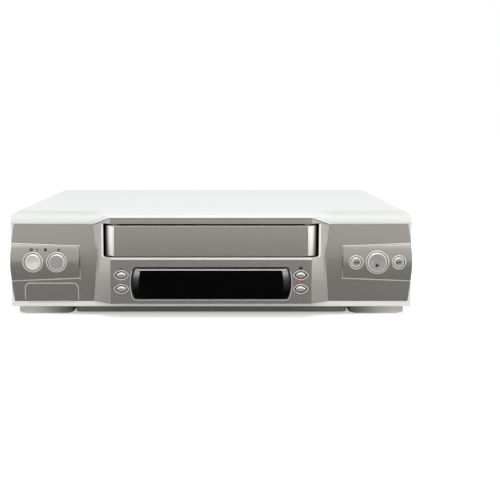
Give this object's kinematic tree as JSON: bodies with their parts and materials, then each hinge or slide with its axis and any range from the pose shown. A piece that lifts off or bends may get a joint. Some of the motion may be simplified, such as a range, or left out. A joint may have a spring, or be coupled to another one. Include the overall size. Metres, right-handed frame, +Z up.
{
  "type": "video cassette recorder",
  "caption": "Low front-loading video cassette recorder with a swinging cassette door, sprung keys, a socket flap and a tape deck inside.",
  "frame": {"origin": "on the table, at the bottom centre of the bounding box", "axes": "+X to the right seen from the front, +Y to the back, +Z up; the front faces -Y"},
  "size_m": [0.38, 0.3018, 0.099],
  "materials": {
    "cover_paint": "fine satin off-white paint",
    "pale_plastic": "satin off-white moulding",
    "silver_plastic": "champagne-silver metallic lacquer",
    "key_plastic": "silver lacquer, a little glossier than the fascia",
    "smoked_window": "polished smoked black",
    "tube_glass": "dark glass",
    "gold_plate": "gold flash",
    "grey_plastic": "moulded grey",
    "black_plastic": "moulded black",
    "white_plastic": "natural acetal",
    "circuit_board": "green solder mask",
    "paper_board": "brown phenolic board",
    "zinc_steel": "zinc-plated sheet",
    "screw_steel": "turned steel",
    "core_steel": "varnished laminations",
    "capacitor_sleeve": "shrink sleeve",
    "bare_aluminium": "fine turned",
    "motor_can": "drawn can",
    "bush_bronze": "sintered bronze",
    "foot_silver": "silver lacquer",
    "black_rubber": "moulded rubber"
  },
  "bodies": {
    "root": {"top_cover": "cover_paint", "bottom_plate": "zinc_steel", "main_frame": "grey_plastic", "rear_panel": "zinc_steel", "front_frame": "pale_plastic", "front_fascia": "silver_plastic", "left_key_panel": "silver_plastic", "right_key_panel": "silver_plastic", "display_window": "smoked_window", "display_tube": "tube_glass", "av_jacks": "gold_plate", "front_board": "circuit_board", "tact_switches": "black_plastic", "front_feet": "foot_silver", "rubber_feet": "black_rubber", "case_screws": "screw_steel", "main_board": "circuit_board", "power_board": "paper_board", "transformer": "core_steel", "capacitors": "capacitor_sleeve", "heat_sink": "bare_aluminium", "tuner_module": "zinc_steel", "scart_sockets": "black_plastic", "audio_sockets": "gold_plate", "mains_inlet": "black_plastic", "deck_plate": "zinc_steel", "deck_posts": "screw_steel", "drum_base": "bare_aluminium", "capstan_bearing": "bush_bronze", "drive_belt": "black_rubber", "fixed_heads": "screw_steel", "loading_motor": "motor_can", "tray_frame": "zinc_steel"},
    "door": {"cassette_door": "silver_plastic"},
    "flap": {"av_flap": "silver_plastic"},
    "power_key": {"power_key": "key_plastic"},
    "eject_key": {"eject_key": "key_plastic"},
    "rewind_key": {"rewind_key": "key_plastic"},
    "play_key": {"play_key": "key_plastic"},
    "fast_forward_key": {"fast_forward_key": "key_plastic"},
    "channel_up_key": {"channel_up_key": "key_plastic"},
    "channel_down_key": {"channel_down_key": "key_plastic"},
    "speed_key": {"speed_key": "key_plastic"},
    "record_key": {"record_key": "key_plastic"},
    "head_drum": {"head_drum": "bare_aluminium"},
    "capstan": {"capstan": "screw_steel"},
    "clutch": {"clutch_pulley": "black_plastic"},
    "idler_arm": {"idler_arm": "zinc_steel"},
    "idler_wheel": {"idler_wheel": "black_rubber"},
    "supply_reel": {"supply_reel": "white_plastic"},
    "take_up_reel": {"take_up_reel": "white_plastic"},
    "pinch_arm": {"pinch_arm": "zinc_steel"},
    "pinch_roller": {"pinch_roller": "black_rubber"},
    "left_guide": {"left_guide": "screw_steel"},
    "right_guide": {"right_guide": "screw_steel"},
    "tension_arm": {"tension_arm": "zinc_steel"},
    "cam_gear": {"cam_gear": "white_plastic"},
    "loading_pinion": {"loading_pinion": "white_plastic"},
    "tray_slider": {"tray_slider": "grey_plastic"},
    "cassette_tray": {"cassette_tray": "zinc_steel"}
  },
  "joints": [
    {"name": "door_hinge", "type": "hinge", "parent": "root", "child": "door", "pos_m": [0, -0.14575, 0.0882], "axis": [1, 0, 0], "range_deg": [0, 85], "stiffness_Nm_per_rad": 0.02},
    {"name": "flap_hinge", "type": "hinge", "parent": "root", "child": "flap", "pos_m": [-0.1515, -0.13475, 0.0157], "axis": [1, 0, 0], "range_deg": [0, 88]},
    {"name": "power_press", "type": "slide", "parent": "root", "child": "power_key", "axis": [0, 1, 0], "range_m": [0, 0.0006], "stiffness_N_per_m": 300},
    {"name": "eject_press", "type": "slide", "parent": "root", "child": "eject_key", "axis": [0, 1, 0], "range_m": [0, 0.0006], "stiffness_N_per_m": 300},
    {"name": "rewind_press", "type": "slide", "parent": "root", "child": "rewind_key", "axis": [0, 1, 0], "range_m": [0, 0.0006], "stiffness_N_per_m": 300},
    {"name": "play_press", "type": "slide", "parent": "root", "child": "play_key", "axis": [0, 1, 0], "range_m": [0, 0.0006], "stiffness_N_per_m": 300},
    {"name": "fast_forward_press", "type": "slide", "parent": "root", "child": "fast_forward_key", "axis": [0, 1, 0], "range_m": [0, 0.0006], "stiffness_N_per_m": 300},
    {"name": "channel_up_press", "type": "slide", "parent": "root", "child": "channel_up_key", "axis": [0, 1, 0], "range_m": [0, 0.0006], "stiffness_N_per_m": 300},
    {"name": "channel_down_press", "type": "slide", "parent": "root", "child": "channel_down_key", "axis": [0, 1, 0], "range_m": [0, 0.0006], "stiffness_N_per_m": 300},
    {"name": "speed_press", "type": "slide", "parent": "root", "child": "speed_key", "axis": [0, 1, 0], "range_m": [0, 0.0006], "stiffness_N_per_m": 300},
    {"name": "record_press", "type": "slide", "parent": "root", "child": "record_key", "axis": [0, 1, 0], "range_m": [0, 0.0006], "stiffness_N_per_m": 300},
    {"name": "drum_spin", "type": "hinge", "parent": "root", "child": "head_drum", "pos_m": [0, 0.06995, 0.036], "axis": [0, -0.1045, 0.9945], "continuous": true},
    {"name": "capstan_spin", "type": "hinge", "parent": "root", "child": "capstan", "pos_m": [0.05, 0.02495, 0.024], "axis": [0, 0, 1], "continuous": true},
    {"name": "clutch_spin", "type": "hinge", "parent": "root", "child": "clutch", "pos_m": [0, -0.03505, 0.024], "axis": [0, 0, 1], "continuous": true},
    {"name": "idler_swing", "type": "hinge", "parent": "root", "child": "idler_arm", "pos_m": [0, -0.03505, 0.028], "axis": [0, 0, 1], "range_deg": [-40, 40]},
    {"name": "idler_spin", "type": "hinge", "parent": "idler_arm", "child": "idler_wheel", "pos_m": [0, -0.01505, 0.026], "axis": [0, 0, 1], "continuous": true},
    {"name": "supply_spin", "type": "hinge", "parent": "root", "child": "supply_reel", "pos_m": [-0.046, -0.02305, 0.026], "axis": [0, 0, 1], "continuous": true},
    {"name": "take_up_spin", "type": "hinge", "parent": "root", "child": "take_up_reel", "pos_m": [0.046, -0.02305, 0.026], "axis": [0, 0, 1], "continuous": true},
    {"name": "pinch_swing", "type": "hinge", "parent": "root", "child": "pinch_arm", "pos_m": [0.074, 0.03095, 0.026], "axis": [0, 0, 1], "range_deg": [0, 86]},
    {"name": "pinch_spin", "type": "hinge", "parent": "pinch_arm", "child": "pinch_roller", "pos_m": [0.07122, 0.04671, 0.036], "axis": [0, 0, 1], "continuous": true},
    {"name": "left_guide_slide", "type": "slide", "parent": "root", "child": "left_guide", "axis": [-0.3417, 0.9398, 0], "range_m": [0, 0.0468]},
    {"name": "right_guide_slide", "type": "slide", "parent": "root", "child": "right_guide", "axis": [0.3417, 0.9398, 0], "range_m": [0, 0.0468]},
    {"name": "tension_swing", "type": "hinge", "parent": "root", "child": "tension_arm", "pos_m": [-0.076, 0.03295, 0.025], "axis": [0, 0, 1], "range_deg": [-12, 15], "stiffness_Nm_per_rad": 0.02},
    {"name": "cam_turn", "type": "hinge", "parent": "root", "child": "cam_gear", "pos_m": [-0.075, 0.06995, 0.015], "axis": [0, 0, 1], "range_deg": [0, 260]},
    {"name": "pinion_turn", "type": "hinge", "parent": "root", "child": "loading_pinion", "pos_m": [-0.075, 0.0971, 0.015], "axis": [0, 0, 1], "range_deg": [-1150, 0]},
    {"name": "tray_in", "type": "slide", "parent": "root", "child": "tray_slider", "axis": [0, 1, 0], "range_m": [0, 0.05]},
    {"name": "tray_down", "type": "slide", "parent": "tray_slider", "child": "cassette_tray", "axis": [0, 0, -1], "range_m": [0, 0.0275]}
  ],
  "couplings": [
    {"joint": "clutch_spin", "follows": "capstan_spin", "ratio": 0.64286},
    {"joint": "idler_spin", "follows": "capstan_spin", "ratio": -0.62357},
    {"joint": "pinion_turn", "follows": "cam_turn", "ratio": -4.4},
    {"joint": "left_guide_slide", "follows": "cam_turn", "m_per_rad": 0.010269},
    {"joint": "right_guide_slide", "follows": "cam_turn", "m_per_rad": 0.010269}
  ]
}
